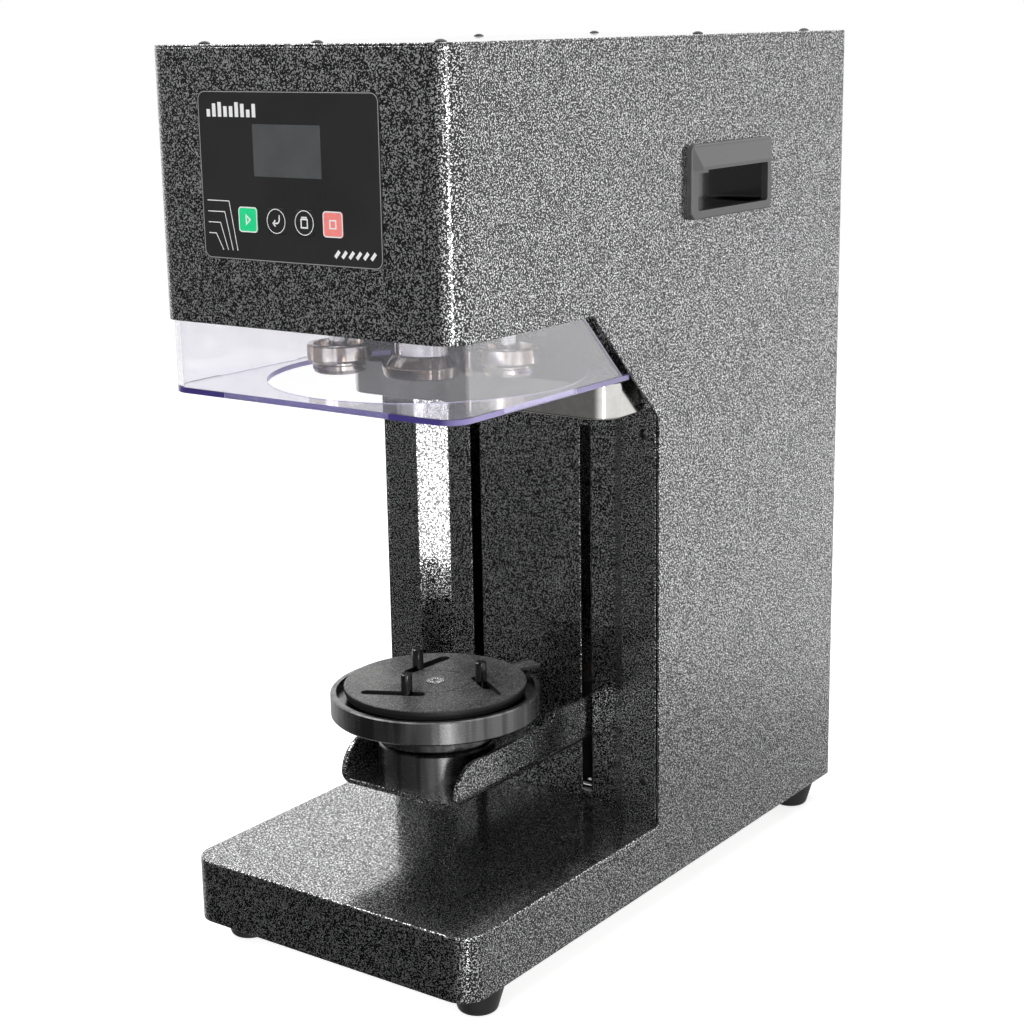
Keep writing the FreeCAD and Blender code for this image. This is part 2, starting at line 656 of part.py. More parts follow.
def chuck():
    """Seaming chuck: tapered flange that fits the can end, ledge, neck and bolt recess."""
    z, ledge = CHUCK_Z, CHUCK_Z + CHUCK_FLANGE
    recess_r, bolt_hole_r = 14.0, 4.1
    profile = [(recess_r, z), (CHUCK_R - 2.0, z), (CHUCK_R - 1.2, z + 0.8), (CHUCK_R, ledge - 0.8),
               (CHUCK_R - 0.3, ledge), (CHUCK_R - 2.9, ledge), (NOSE_R + 1.4, CHUCK_TOP - 0.7),
               (NOSE_R, CHUCK_TOP), (bolt_hole_r, CHUCK_TOP), (bolt_hole_r, z + 6.0), (recess_r, z + 6.0)]
    return turned(0, AXIS_Y, profile)


def chuck_bolt():
    head = cyl(0, AXIS_Y, CHUCK_Z + 0.6, CHUCK_Z + 6.0, 6.5)
    socket = plan_prism([polar(3.4, 60 * i) for i in range(6)], CHUCK_Z, CHUCK_Z + 3.6)
    return head.cut(socket).fuse(cyl(0, AXIS_Y, CHUCK_Z + 5, CHUCK_Z + 36, 3.95)).removeSplitter()


def pulley(x, y, radius, bore):
    """Flanged belt pulley with its hub."""
    z0, z1 = PULLEY_Z, PULLEY_Z + PULLEY_H
    body = ring(x, y, z0, z1, radius, bore)
    flanges = [ring(x, y, z, z + 1.5, radius + 3.0, bore) for z in (z0, z1 - 1.5)]
    return fuse(body, *flanges)


def drive_belt():
    """Flat belt round both pulleys, with the straight runs tangent to them."""
    gap = 0.15
    z0, z1 = PULLEY_Z + 2.2, PULLEY_Z + PULLEY_H - 2.2

    def loop(extra):
        r1 = SPINDLE_PULLEY_R + gap + extra
        r2 = MOTOR_PULLEY_R + gap + extra
        tilt = math.asin((r1 - r2) / (MOTOR_Y - AXIS_Y))
        nx, ny = math.cos(tilt), math.sin(tilt)
        a, b = V(r1 * nx, AXIS_Y + r1 * ny, z0), V(r2 * nx, MOTOR_Y + r2 * ny, z0)
        c, d = V(-b.x, b.y, z0), V(-a.x, a.y, z0)
        edges = [
            Part.makeLine(a, b),
            Part.Arc(b, V(0, MOTOR_Y + r2, z0), c).toShape(),
            Part.makeLine(c, d),
            Part.Arc(d, V(0, AXIS_Y - r1, z0), a).toShape(),
        ]
        return Part.Face(Part.Wire(edges)).extrude(V(0, 0, z1 - z0))

    return loop(BELT_T).cut(loop(0.0))


def main_motor():
    """Square-flanged drive motor standing on the plate."""
    z0 = PLATE_Z + PLATE_T
    half = MOTOR_W / 2
    body = round_box(-half, half, MOTOR_Y - half, MOTOR_Y + half, z0, z0 + 56, 8.0)
    grooves = [box(-half - 1, half + 1, MOTOR_Y - half - 1, MOTOR_Y + half + 1, z0 + z, z0 + z + 2)
               .cut(round_box(-half + 2, half - 2, MOTOR_Y - half + 2, MOTOR_Y + half - 2,
                              z0 + z - 1, z0 + z + 3, 7.0)) for z in (12, 20, 28, 36, 44)]
    boss = cyl(0, MOTOR_Y, z0 + 56, z0 + 60, 22.0)
    motor = body.cut(Part.makeCompound(grooves)).fuse(boss).removeSplitter()
    return motor.cut(cyl(0, MOTOR_Y, z0 + 8, z0 + 70, 7.0 + RUN))


def motor_pulley():
    """Small pulley pressed on the motor's shaft."""
    shaft = cyl(0, MOTOR_Y, PLATE_Z + PLATE_T + 10, PULLEY_Z + PULLEY_H + 2, 7.0)
    return fuse(pulley(0, MOTOR_Y, MOTOR_PULLEY_R, 7.0), shaft)


def cam_disc():
    """Plate cam: base circle with one lobe that closes the rolls in turn."""
    rise, steps = 26.0, 7
    half_lobe = 34.0
    points = []
    for i in range(steps + 1):
        turn = i / steps
        radius = CAM_BASE_R + CAM_LIFT * (1 - math.cos(math.pi * turn)) / 2
        points.append((radius, 90 - half_lobe - rise + rise * turn))
    points += [(r, 180 - a) for r, a in reversed(points)]
    curve = [V(*polar(r, a, (0, CAM_Y)), CAM_Z) for r, a in points]
    flank = Part.BSplineCurve()
    flank.interpolate(curve)
    low = V(0, CAM_Y - CAM_BASE_R, CAM_Z)
    edges = [flank.toShape(), Part.Arc(curve[-1], low, curve[0]).toShape()]
    disc = Part.Face(Part.Wire(edges)).extrude(V(0, 0, CAM_T))
    hub = cyl(0, CAM_Y, CAM_Z + CAM_T, ARM_Z + 9, 12.0)
    shaft = cyl(0, CAM_Y, CAM_Z, PLATE_Z + PLATE_T + 12, 6.0)
    return fuse(disc, hub, shaft)


def cam_motor():
    z0 = PLATE_Z + PLATE_T
    body = fuse(cyl(0, CAM_Y, z0, z0 + 26, 30.0), cyl(0, CAM_Y, z0 + 26, z0 + 58, 24.0))
    body = fillet_where(body, 2.0, lambda edge: middle(edge).z > z0 + 57)
    return body.cut(cyl(0, CAM_Y, z0 - 1, z0 + 14, 6.0 + RUN))


def roll_arm(pivot, roll, follower_x):
    """Bell-crank: boss at the pivot, seaming roll on one limb, cam pin on the other."""
    z0, z1 = ARM_Z, ARM_Z + ARM_T
    follower = (follower_x, CAM_Y)
    arm = fuse(stadium(pivot, roll, 10.0, z0, z1), stadium(pivot, follower, 8.0, z0, z1),
               cyl(*pivot, z0, z1, 13.0))
    arm = fuse(arm, cyl(*follower, CAM_Z, z0 + 1, FOLLOWER_R))
    arm = arm.cut(cyl(*pivot, z0 - 1, z1 + 1, PIVOT_R + RUN))
    return arm.cut(cyl(*roll, z0 - 1, z1 + 1, ROLL_PIN_R))


def roll_pin(roll):
    """Fixed axle of a seaming roll, shouldered above it and headed below."""
    x, y = roll
    axle = cyl(x, y, ROLL_BOTTOM + 1.6, ARM_Z + ARM_T + 1.0, ROLL_PIN_R)
    shoulder = cyl(x, y, ROLL_TOP - 6.6, ARM_Z - 1.0, 6.0)
    head = cyl(x, y, ROLL_BOTTOM + 0.4, ROLL_BOTTOM + 2.6, 6.4)
    return fuse(axle, shoulder, head)


def seaming_roll(roll, radius):
    """Hardened roll: straight rim above, seaming groove, rounded nose below."""
    z0, z1, bore = ROLL_BOTTOM, ROLL_TOP, ROLL_PIN_R + RUN
    top, nose = z1 - 9.0, radius - 3.4
    profile = [(bore, z0 + 3.0), (8.0, z0 + 3.0), (8.0, z0), (nose - 2.6, z0), (nose - 0.8, z0 + 0.9),
               (nose, z0 + 2.8), (nose, z0 + 5.0), (nose - 0.9, z0 + 5.8), (nose - 0.9, z0 + 6.7),
               (radius - 1.3, top - 1.2), (radius - 0.2, top), (radius, top + 0.3), (radius, z1 - 0.8),
               (radius - 0.8, z1), (radius - 4.2, z1), (radius - 5.0, z1 - 7.0), (bore, z1 - 7.0)]
    return turned(roll[0], roll[1], profile)


def pivot_bolts():
    """Shouldered bolts that the two arms swing on."""
    bolts = []
    seat = PLATE_Z + PLATE_T
    for x, y in (PIVOT_LEFT, PIVOT_RIGHT):
        shank = cyl(x, y, ARM_Z - 1, seat, PIVOT_R)
        head = cyl(x, y, ARM_Z - 5.3, ARM_Z - 0.3, 8.5)
        nut = plan_prism([polar(8.5, 60 * i, (x, y)) for i in range(6)], seat, seat + 6)
        bolts.append(fuse(shank, head, nut))
    return group(bolts)


# ---- lift -------------------------------------------------------------------
HOUSING_SCREWS = [polar(27.0, 45 + 90 * i) for i in range(4)]


def arm_side_view():
    """Outline of the arm from the side: round nose, then a step up to the column."""
    front, rear, z0 = ARM_FRONT, GUIDE_Y + ARM_REAR, ARM_BOTTOM
    low, high = z0 + ARM_LOW, z0 + ARM_HIGH
    r, slope = ARM_NOSE_R, 5.0
    inset = r * (1 - math.sqrt(0.5))
    nose = Part.Arc(V(0, front, low - r), V(0, front + inset, low - inset), V(0, front + r, low))
    corners = [V(0, front + r, low), V(0, ARM_STEP_Y, low), V(0, ARM_STEP_Y + slope, high),
               V(0, rear, high), V(0, rear, z0), V(0, front, z0), V(0, front, low - r)]
    edges = [nose.toShape()] + [Part.makeLine(a, b) for a, b in zip(corners, corners[1:])]
    side = Part.Face(Part.Wire(edges)).extrude(V(2 * ARM_HALF + 10, 0, 0))
    side.translate(V(-ARM_HALF - 5, 0, 0))
    return side


def lift_arm():
    """U-channel bent from sheet: floor under the table, walls through the slots."""
    z0, t = ARM_BOTTOM, ARM_SHEET
    bend = 7.0
    outer = round_box(-ARM_HALF, ARM_HALF, ARM_FRONT - 20, GUIDE_Y + 20, z0, z0 + 80, bend, 1)
    inner = round_box(-ARM_HALF + t, ARM_HALF - t, ARM_FRONT - 30, GUIDE_Y + 30, z0 + t, z0 + 90, bend - t, 1)
    channel = outer.cut(inner).common(arm_side_view())
    rear = GUIDE_Y + ARM_REAR
    rear_floor = box(-ARM_HALF - 1, ARM_HALF + 1, COLUMN_Y + 8, rear + 1, z0 - 1, z0 + 3.6)
    channel = channel.cut(rear_floor).cut(cyl(0, AXIS_Y, z0 - 1, z0 + 10, 8.0))
    for x, y in HOUSING_SCREWS:
        channel = channel.cut(cyl(x, y, z0 - 1, z0 + 10, 2.2))
    return channel


def carriage():
    """Block that slides on the two guide rods and carries the arm's walls."""
    half = ARM_HALF - ARM_SHEET
    block = box(-half, half, GUIDE_Y - 15, GUIDE_Y + 14, ARM_BOTTOM + 3.6, ARM_BOTTOM + 31.0)
    foot = ARM_BOTTOM + 3.6
    block = chamfer_where(block, 4.2, lambda e: runs_along(e, 1) and abs(middle(e).z - foot) < 0.01)
    block = block.cut(cyl(0, GUIDE_Y, ARM_BOTTOM, ARM_BOTTOM + 40, 8.0))
    for side in (-1, 1):
        block = block.cut(cyl(side * GUIDE_X, GUIDE_Y, ARM_BOTTOM, ARM_BOTTOM + 40, GUIDE_R + RUN))
    return block


def lift_nut():
    """Flanged brass nut of the lead screw."""
    z0, z1 = ARM_BOTTOM + 6.0, ARM_BOTTOM + 31.0
    nut = fuse(cyl(0, GUIDE_Y, z0, z1, 7.98), cyl(0, GUIDE_Y, z1, z1 + 4, 12.5))
    return nut.cut(cyl(0, GUIDE_Y, z0 - 1, z1 + 9, SCREW_R + RUN))


def guide_rods():
    z0, z1 = BASE_TOP - SHEET - 20, CROSS_Z + CROSS_T
    return group([cyl(side * GUIDE_X, GUIDE_Y, z0, z1, GUIDE_R) for side in (-1, 1)])


def lower_crossmember():
    """Foot block of the guide rods, across the base of the column."""
    block = box(-40, 40, GUIDE_Y - 14, GUIDE_Y + 14, FOOT_H + SHEET, FOOT_H + SHEET + 17.0)
    wing = box(-INNER, INNER, GUIDE_Y - 14, GUIDE_Y + 14, FOOT_H + SHEET, FOOT_H + SHEET + 3.0)
    block = fuse(block, wing)
    for side in (-1, 1):
        block = block.cut(cyl(side * GUIDE_X, GUIDE_Y, BASE_TOP - SHEET - 20, 90, GUIDE_R + 0.01))
    return block.cut(cyl(0, GUIDE_Y, 24, 90, SCREW_R + RUN))


def upper_crossmember():
    """Beam from side panel to side panel: top of the guide rods, seat of the lift motor."""
    beam = box(-INNER, INNER, GUIDE_Y - 30, GUIDE_Y + 30, CROSS_Z, CROSS_Z + CROSS_T)
    beam = beam.cut(cyl(0, GUIDE_Y, CROSS_Z - 1, CROSS_Z + 20, 8.0))
    for side in (-1, 1):
        beam = beam.cut(cyl(side * GUIDE_X, GUIDE_Y, CROSS_Z - 1, CROSS_Z + 20, GUIDE_R + 0.01))
    return beam


def lift_motor():
    z0 = CROSS_Z + CROSS_T
    body = round_box(-20, 20, GUIDE_Y - 28, GUIDE_Y + 28, z0, z0 + 50, 5.0)
    return body.cut(cyl(0, GUIDE_Y, z0 - 1, z0 + 20, SCREW_R + RUN))


def lead_screw():
    """Trapezoidal screw drawn as its envelope, with a turned-down thread zone."""
    foot_z, thread_z0, thread_z1, top = 25.0, 66.0, CROSS_Z - 6, CROSS_Z + CROSS_T + 18
    pitch = 8.0
    root = SCREW_R - 0.9
    profile = [(0.0, foot_z), (SCREW_R, foot_z), (SCREW_R, thread_z0)]
    for i in range(int((thread_z1 - thread_z0) / pitch)):
        z = thread_z0 + i * pitch
        profile += [(root, z + 1.2), (root, z + 3.4), (SCREW_R, z + 4.6), (SCREW_R, z + pitch)]
    profile += [(SCREW_R, top), (0.0, top)]
    return turned(0, GUIDE_Y, profile)


# ---- turntable --------------------------------------------------------------
STUB_R = 10.0
HUB_R = 12.0
SCREW_BORE_R = 2.6


def table_housing():
    """Bearing housing bolted to the arm's floor, round the table's stub shaft."""
    z0, z1 = ARM_BOTTOM + ARM_SHEET, HOUSING_TOP
    outer = 36.4
    profile = [(17.0, z0), (outer, z0), (outer, z1 - 1.0), (outer - 1.0, z1), (22.0, z1),
               (22.0, z0 + 5.0), (17.0, z0 + 5.0)]
    housing = turned(0, AXIS_Y, profile)
    for x, y in HOUSING_SCREWS:
        housing = housing.cut(cyl(x, y, z0 - 1, ARM_BOTTOM + 9.5, 2.02))
    return housing


def table_bearings():
    """Two ball races in the housing bore."""
    z0 = ARM_BOTTOM + ARM_SHEET + 5.2
    return group([ring(0, AXIS_Y, z, z + 7.5, 21.98, STUB_R + RUN) for z in (z0, z0 + 8.5)])


def housing_screws():
    screw = dome_screw(4.0, 2.4, 2.0, 9.0)
    return group([facing(screw, (0, 0, -1), (x, y, ARM_BOTTOM)) for x, y in HOUSING_SCREWS])


def table_cup():
    """Turned cup: rim round the plate, flared collar and the stub shaft below."""
    z0, stub_end = CUP_BOTTOM, ARM_BOTTOM + 10
    neck, neck_r = HOUSING_TOP + 1.1, 30.0
    collar = HOUSING_TOP + 2.5
    profile = [(SCREW_BORE_R, stub_end), (STUB_R, stub_end), (STUB_R, neck), (neck_r, neck), (neck_r, collar),
               (36.7, collar), (37.3, collar + 0.8), (37.7, collar + 5.0), (38.8, collar + 10.5), (40.6, z0),
               (CUP_R - 1.0, z0), (CUP_R, z0 + 1.0), (CUP_R, RIM_TOP - 0.8), (CUP_R - 0.8, RIM_TOP),
               (CUP_BORE, RIM_TOP), (CUP_BORE, CUP_FLOOR), (HUB_R, CUP_FLOOR), (HUB_R, TABLE_Z),
               (SCREW_BORE_R, TABLE_Z)]
    return turned(0, AXIS_Y, profile)


def groove_ends(i):
    """Outer and inner end of straight groove i in the table plate."""
    start = GROOVE_START - 120.0 * i
    return polar(GROOVE_OUT, start), polar(GROOVE_IN, start + GROOVE_TURN)


def pin_rest(i):
    """Point on groove i where its centring pin stands."""
    outer, inner = groove_ends(i)
    steps = 400
    for k in range(steps, -1, -1):
        t = k / steps
        x, y = outer[0] + (inner[0] - outer[0]) * t, outer[1] + (inner[1] - outer[1]) * t
        if math.hypot(x, y - AXIS_Y) >= PIN_RADIUS:
            return (x, y)
    return inner


def table_plate():
    """Textured plate with three straight grooves and an engraved circle."""
    plate = cyl(0, AXIS_Y, TABLE_Z, TABLE_TOP, TABLE_R)
    plate = chamfer_where(plate, 0.5, lambda edge: middle(edge).z > TABLE_TOP - 0.01)
    for i in range(3):
        outer, inner = groove_ends(i)
        plate = plate.cut(stadium(outer, inner, GROOVE_W / 2, TABLE_Z - 1, TABLE_TOP + 1))
    plate = plate.cut(ring(0, AXIS_Y, TABLE_TOP - 0.3, TABLE_TOP + 1, 21.2, 20.8))
    plate = plate.cut(cyl(0, AXIS_Y, TABLE_Z - 1, TABLE_TOP + 1, SCREW_BORE_R))
    return plate.cut(cyl(0, AXIS_Y, TABLE_TOP - 1.4, TABLE_TOP + 1, 5.9))


def table_screw():
    head = cyl(0, AXIS_Y, TABLE_TOP - 1.4, TABLE_TOP + 0.5, 5.7)
    socket = plan_prism([polar(2.2, 60 * i) for i in range(6)], TABLE_TOP - 0.9, TABLE_TOP + 2)
    return head.cut(socket).fuse(cyl(0, AXIS_Y, TABLE_Z - 22, TABLE_TOP - 1, 2.55)).removeSplitter()


DISC_Z = 153.8
DISC_TOP = 156.4
LEVER_ANGLE = 68.0
LEVER_REACH = 73.5
CAM_SLOT_R = 3.75


def disc_slot(i):
    """Slot in the adjuster that moves pin i evenly along its groove: in the
    disc's own frame the pin follows its groove turned back by the disc's angle."""
    outer, inner = groove_ends(i)
    steps = 6
    left, right = [], []
    path = []
    for k in range(steps + 1):
        t = k / steps
        x, y = inner[0] + (outer[0] - inner[0]) * t, inner[1] + (outer[1] - inner[1]) * t
        rest = rest_fraction()
        turn = math.radians(STROKE_TURN) * (t - rest)
        dx, dy = x, y - AXIS_Y
        path.append((dx * math.cos(turn) - dy * math.sin(turn), dx * math.sin(turn) + dy * math.cos(turn)))
    for k, (px, py) in enumerate(path):
        a, b = path[max(k - 1, 0)], path[min(k + 1, steps)]
        tx, ty = b[0] - a[0], b[1] - a[1]
        length = math.hypot(tx, ty)
        nx, ny = -ty / length * CAM_SLOT_R, tx / length * CAM_SLOT_R
        left.append(V(px + nx, AXIS_Y + py + ny, DISC_Z - 1))
        right.append(V(px - nx, AXIS_Y + py - ny, DISC_Z - 1))
    return slot_from_sides(left, right, path)


def slot_from_sides(left, right, path):
    """Curved slot between two smooth flanks, with round ends."""
    def smooth(points):
        curve = Part.BSplineCurve()
        curve.interpolate(points)
        return curve.toShape()

    def cap(k, neighbour):
        x, y = path[k]
        dx, dy = x - path[neighbour][0], y - path[neighbour][1]
        length = math.hypot(dx, dy)
        return V(x + dx / length * CAM_SLOT_R, AXIS_Y + y + dy / length * CAM_SLOT_R, DISC_Z - 1)

    edges = [
        smooth(left),
        Part.Arc(left[-1], cap(-1, -2), right[-1]).toShape(),
        smooth(list(reversed(right))),
        Part.Arc(right[0], cap(0, 1), left[0]).toShape(),
    ]
    return Part.Face(Part.Wire(edges)).extrude(V(0, 0, DISC_TOP - DISC_Z + 2))


def rest_fraction():
    """How far along the groove, from its inner end, the pins stand at rest."""
    outer, inner = groove_ends(0)
    x, y = pin_rest(0)
    span = math.hypot(outer[0] - inner[0], outer[1] - inner[1])
    return math.hypot(x - inner[0], y - inner[1]) / span


def adjuster_disc():
    """Disc under the plate whose slots set the pins, with its finger lever."""
    disc = cyl(0, AXIS_Y, DISC_Z, DISC_TOP, 55.5)
    c, s = math.cos(math.radians(LEVER_ANGLE)), math.sin(math.radians(LEVER_ANGLE))

    def bar(r0, r1, half, z0, z1):
        corners = [(r0, -half), (r1, -half), (r1, half), (r0, half)]
        return plan_prism([(r * c - w * s, AXIS_Y + r * s + w * c) for r, w in corners], z0, z1)

    neck = bar(50.0, 60.8, 5.5, DISC_Z, DISC_TOP)
    riser = bar(57.2, 60.8, 5.5, DISC_Z, RIM_TOP + 2.6)
    tongue = bar(57.2, LEVER_REACH, 5.5, RIM_TOP + 0.8, RIM_TOP + 2.6)
    disc = fuse(disc, neck, riser, tongue)
    for i in range(3):
        disc = disc.cut(disc_slot(i))
    return disc.cut(cyl(0, AXIS_Y, DISC_Z - 1, DISC_TOP + 1, HUB_R + RUN))


def centring_pin(i):
    """Pin with a foot flange that keeps it under the adjuster disc."""
    x, y = pin_rest(i)
    stem = cyl(x, y, CUP_FLOOR + 0.4, PIN_TOP, PIN_R)
    stem = chamfer_where(stem, 0.6, lambda edge: middle(edge).z > PIN_TOP - 0.01)
    return fuse(stem, cyl(x, y, CUP_FLOOR + 0.4, DISC_Z - 0.3, 5.6))


# ---- write every node -------------------------------------------------------
def main():
    os.makedirs("parts", exist_ok=True)
    save("casing", casing())
    save("top_cover", top_cover())
    save("back_panel", back_panel())
    save("bottom_plate", bottom_plate())
    save("column_cover", column_cover())
    save("head_floor", head_floor())
    save("splash_tray", splash_tray())
    save("shield_wall", shield_wall())
    save("shield_floor", shield_floor())
    save("handle_right", handle(1))
    save("handle_left", handle(-1))
    save("control_overlay", control_overlay())
    save("display_glass", display_glass())
    save("control_board", control_board())
    save("power_inlet", power_inlet())
    save("power_rocker", power_rocker())
    for name, x in KEYS.items():
        save(name, key(x))
    save("feet", group([foot(x, y) for x, y in FOOT_XY]))
    save("case_screws", case_screws())
    save("foot_screws", foot_screws())
    save("seaming_plate", seaming_plate())
    save("spindle_housing", spindle_housing())
    save("spindle_bearings", spindle_bearings())
    save("spindle_shaft", spindle_shaft())
    save("chuck", chuck())
    save("chuck_bolt", chuck_bolt())
    save("spindle_pulley", pulley(0, AXIS_Y, SPINDLE_PULLEY_R, SHAFT_R))
    save("motor_pulley", motor_pulley())
    save("main_motor", main_motor())
    save("drive_belt", drive_belt())
    save("cam_disc", cam_disc())
    save("cam_motor", cam_motor())
    save("pivot_bolts", pivot_bolts())
    save("roll_arm_left", roll_arm(PIVOT_LEFT, ROLL_LEFT, -FOLLOWER_X))
    save("roll_arm_right", roll_arm(PIVOT_RIGHT, ROLL_RIGHT, FOLLOWER_X))
    save("roll_pin_left", roll_pin(ROLL_LEFT))
    save("roll_pin_right", roll_pin(ROLL_RIGHT))
    save("seaming_roll_left", seaming_roll(ROLL_LEFT, 19.5))
    save("seaming_roll_right", seaming_roll(ROLL_RIGHT, 19.0))
    save("lift_arm", lift_arm())
    save("carriage", carriage())
    save("lift_nut", lift_nut())
    save("guide_rods", guide_rods())
    save("lower_crossmember", lower_crossmember())
    save("upper_crossmember", upper_crossmember())
    save("lift_motor", lift_motor())
    save("lead_screw", lead_screw())
    save("table_housing", table_housing())
    save("table_bearings", table_bearings())
    save("housing_screws", housing_screws())
    save("table_cup", table_cup())
    save("table_plate", table_plate())
    save("table_screw", table_screw())
    save("adjuster_disc", adjuster_disc())
    for i in range(3):
        save("centring_pin_" + str(i + 1), centring_pin(i))


main()
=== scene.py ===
import json
import math

import bmesh
import bpy
from mathutils import Matrix, Vector


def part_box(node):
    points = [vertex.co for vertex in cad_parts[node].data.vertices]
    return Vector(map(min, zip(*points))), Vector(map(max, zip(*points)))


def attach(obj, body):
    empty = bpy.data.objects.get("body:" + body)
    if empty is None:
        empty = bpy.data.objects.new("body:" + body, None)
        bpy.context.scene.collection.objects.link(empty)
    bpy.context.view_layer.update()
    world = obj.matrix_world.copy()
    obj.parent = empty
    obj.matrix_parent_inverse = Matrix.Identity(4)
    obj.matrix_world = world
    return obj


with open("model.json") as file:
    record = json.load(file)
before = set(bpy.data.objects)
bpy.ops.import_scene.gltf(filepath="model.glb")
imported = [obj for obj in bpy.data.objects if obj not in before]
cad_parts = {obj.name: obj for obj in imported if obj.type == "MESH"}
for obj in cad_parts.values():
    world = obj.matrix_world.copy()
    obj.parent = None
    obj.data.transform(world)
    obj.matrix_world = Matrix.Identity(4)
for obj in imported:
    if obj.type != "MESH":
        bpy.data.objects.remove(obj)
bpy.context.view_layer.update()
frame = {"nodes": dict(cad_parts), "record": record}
NODES = frame["nodes"]
MM = 0.001
HOLE_RADIUS = 93.7 * MM    # round opening of the shield's floor, about the chuck


# ---- material graph helper --------------------------------------------------
class Graph:
    """Node tree of one material, with short calls for what the finishes share."""

    def __init__(self, name):
        self.mat = bpy.data.materials.new(name)
        self.mat.use_nodes = True
        self.tree = self.mat.node_tree
        self.bsdf = self.tree.nodes["Principled BSDF"]
        self.out = self.tree.nodes["Material Output"]
        place = self.tree.nodes.new("ShaderNodeTexCoord").outputs
        self.coords, self.normals = place["Object"], place["Normal"]

    def set(self, **values):
        for key, value in values.items():
            self.bsdf.inputs[key.replace("_", " ")].default_value = value
        return self

    def link(self, source, target):
        self.tree.links.new(source, target)

    def feed(self, source, name):
        self.link(source, self.bsdf.inputs[name])

    def noise(self, scale, detail=2.0, roughness=0.5, distortion=0.0, coords=None):
        node = self.tree.nodes.new("ShaderNodeTexNoise")
        node.inputs["Scale"].default_value = scale
        node.inputs["Detail"].default_value = detail
        node.inputs["Roughness"].default_value = roughness
        node.inputs["Distortion"].default_value = distortion
        self.link(coords or self.coords, node.inputs["Vector"])
        return node.outputs["Fac"]

    def stretch(self, x, y, z):
        """Object coordinates scaled per axis, for grain with a direction."""
        node = self.tree.nodes.new("ShaderNodeMapping")
        node.inputs["Scale"].default_value = (x, y, z)
        self.link(self.coords, node.inputs["Vector"])
        return node.outputs["Vector"]

    def ramp(self, source, low, high, start=0.0, end=1.0):
        node = self.tree.nodes.new("ShaderNodeMapRange")
        node.inputs["From Min"].default_value = low
        node.inputs["From Max"].default_value = high
        node.inputs["To Min"].default_value = start
        node.inputs["To Max"].default_value = end
        node.clamp = True
        self.link(source, node.inputs["Value"])
        return node.outputs["Result"]

    def mix(self, factor, first, second):
        node = self.tree.nodes.new("ShaderNodeMix")
        node.data_type = "RGBA"
        node.inputs["A"].default_value = (*first, 1)
        node.inputs["B"].default_value = (*second, 1)
        self.link(factor, node.inputs["Factor"])
        return node.outputs["Result"]

    def math(self, operation, first, second):
        node = self.tree.nodes.new("ShaderNodeMath")
        node.operation = operation
        for socket, value in zip(node.inputs, (first, second)):
            if isinstance(value, (int, float)):
                socket.default_value = value
            else:
                self.link(value, socket)
        return node.outputs["Value"]

    def bump(self, height, strength, distance, edge=0.0):
        """Relief from a height, over edges softened by the given radius."""
        node = self.tree.nodes.new("ShaderNodeBump")
        node.inputs["Strength"].default_value = strength
        node.inputs["Distance"].default_value = distance
        self.link(height, node.inputs["Height"])
        if edge:
            soft = self.tree.nodes.new("ShaderNodeBevel")
            soft.inputs["Radius"].default_value = edge
            self.link(soft.outputs["Normal"], node.inputs["Normal"])
        self.feed(node.outputs["Normal"], "Normal")
        return node.outputs["Normal"]

    def along(self, axis):
        """How far a face looks along an axis, either way: 0 to 1."""
        split = self.tree.nodes.new("ShaderNodeSeparateXYZ")
        self.link(self.normals, split.inputs["Vector"])
        return self.math("ABSOLUTE", split.outputs[axis], 0)

    def distance(self, x, y):
        """Distance from an upright axis."""
        node = self.tree.nodes.new("ShaderNodeVectorMath")
        node.operation = "DISTANCE"
        flat = self.tree.nodes.new("ShaderNodeVectorMath")
        flat.operation = "MULTIPLY"
        flat.inputs[1].default_value = (1, 1, 0)
        self.link(self.coords, flat.inputs[0])
        self.link(flat.outputs["Vector"], node.inputs[0])
        node.inputs[1].default_value = (x, y, 0)
        return node.outputs["Value"]

    def upright(self):
        """0 for a vertical face, 1 for a level one."""
        return self.along(2)


# ---- finishes ---------------------------------------------------------------
def hammertone(name="hammertone_paint"):
    """Black stoving paint with silver worm-like speckle under a wavy gloss."""
    g = Graph(name)
    worms = g.noise(1220, detail=0.0, distortion=0.6)
    patches = g.noise(60, detail=2.0)
    shift = g.math("MULTIPLY", g.math("SUBTRACT", patches, 0.5), 0.05)
    silver = g.ramp(g.math("ADD", worms, shift), 0.57, 0.63)
    g.feed(g.mix(silver, (0.0015, 0.0015, 0.0016), (0.9, 0.905, 0.915)), "Base Color")
    g.feed(silver, "Metallic")
    g.set(Roughness=0.22, Specular_IOR_Level=0.05)
    g.set(Coat_Weight=1.0, Coat_Roughness=0.03, Coat_IOR=1.52)
    orange_peel = g.noise(420, detail=1.0)
    height = g.math("ADD", g.math("MULTIPLY", worms, 0.4), g.math("MULTIPLY", orange_peel, 0.5))
    g.feed(g.bump(height, 0.14, 0.0003, edge=0.0009), "Coat Normal")
    return g.mat


def turned_metal(name, colour, roughness, grain=0.05, painted_band_shade_and_tarnish=(0.72, 0.72, 0.72)):
    """Lathe-finished metal: highlights stretched round the axis, faint tool marks
    and darker upright bands in its colour: painted reflection of dark surroundings, with a brownish tint."""
    g = Graph(name)
    g.set(Metallic=1.0, Anisotropic=0.65)
    tangent = g.tree.nodes.new("ShaderNodeTangent")
    tangent.direction_type = "RADIAL"
    tangent.axis = "Z"
    g.feed(tangent.outputs["Tangent"], "Tangent")
    marks = g.noise(1.0, detail=3.0, coords=g.stretch(60, 60, 6000))
    stain_and_painted_bands = g.noise(1.0, detail=2.0, roughness=0.5, coords=g.stretch(110, 110, 10))
    # upright dark bands: painted reflection of dark surroundings, partly a brownish tint of the metal
    dark = tuple(c * t for c, t in zip(colour, painted_band_shade_and_tarnish))
    g.feed(g.mix(g.ramp(stain_and_painted_bands, 0.43, 0.55), dark, colour), "Base Color")
    g.feed(g.ramp(g.math("ADD", stain_and_painted_bands, marks), 0.7, 1.3, roughness - grain, roughness + grain), "Roughness")
    g.bump(marks, 0.12, 0.00005)
    return g.mat


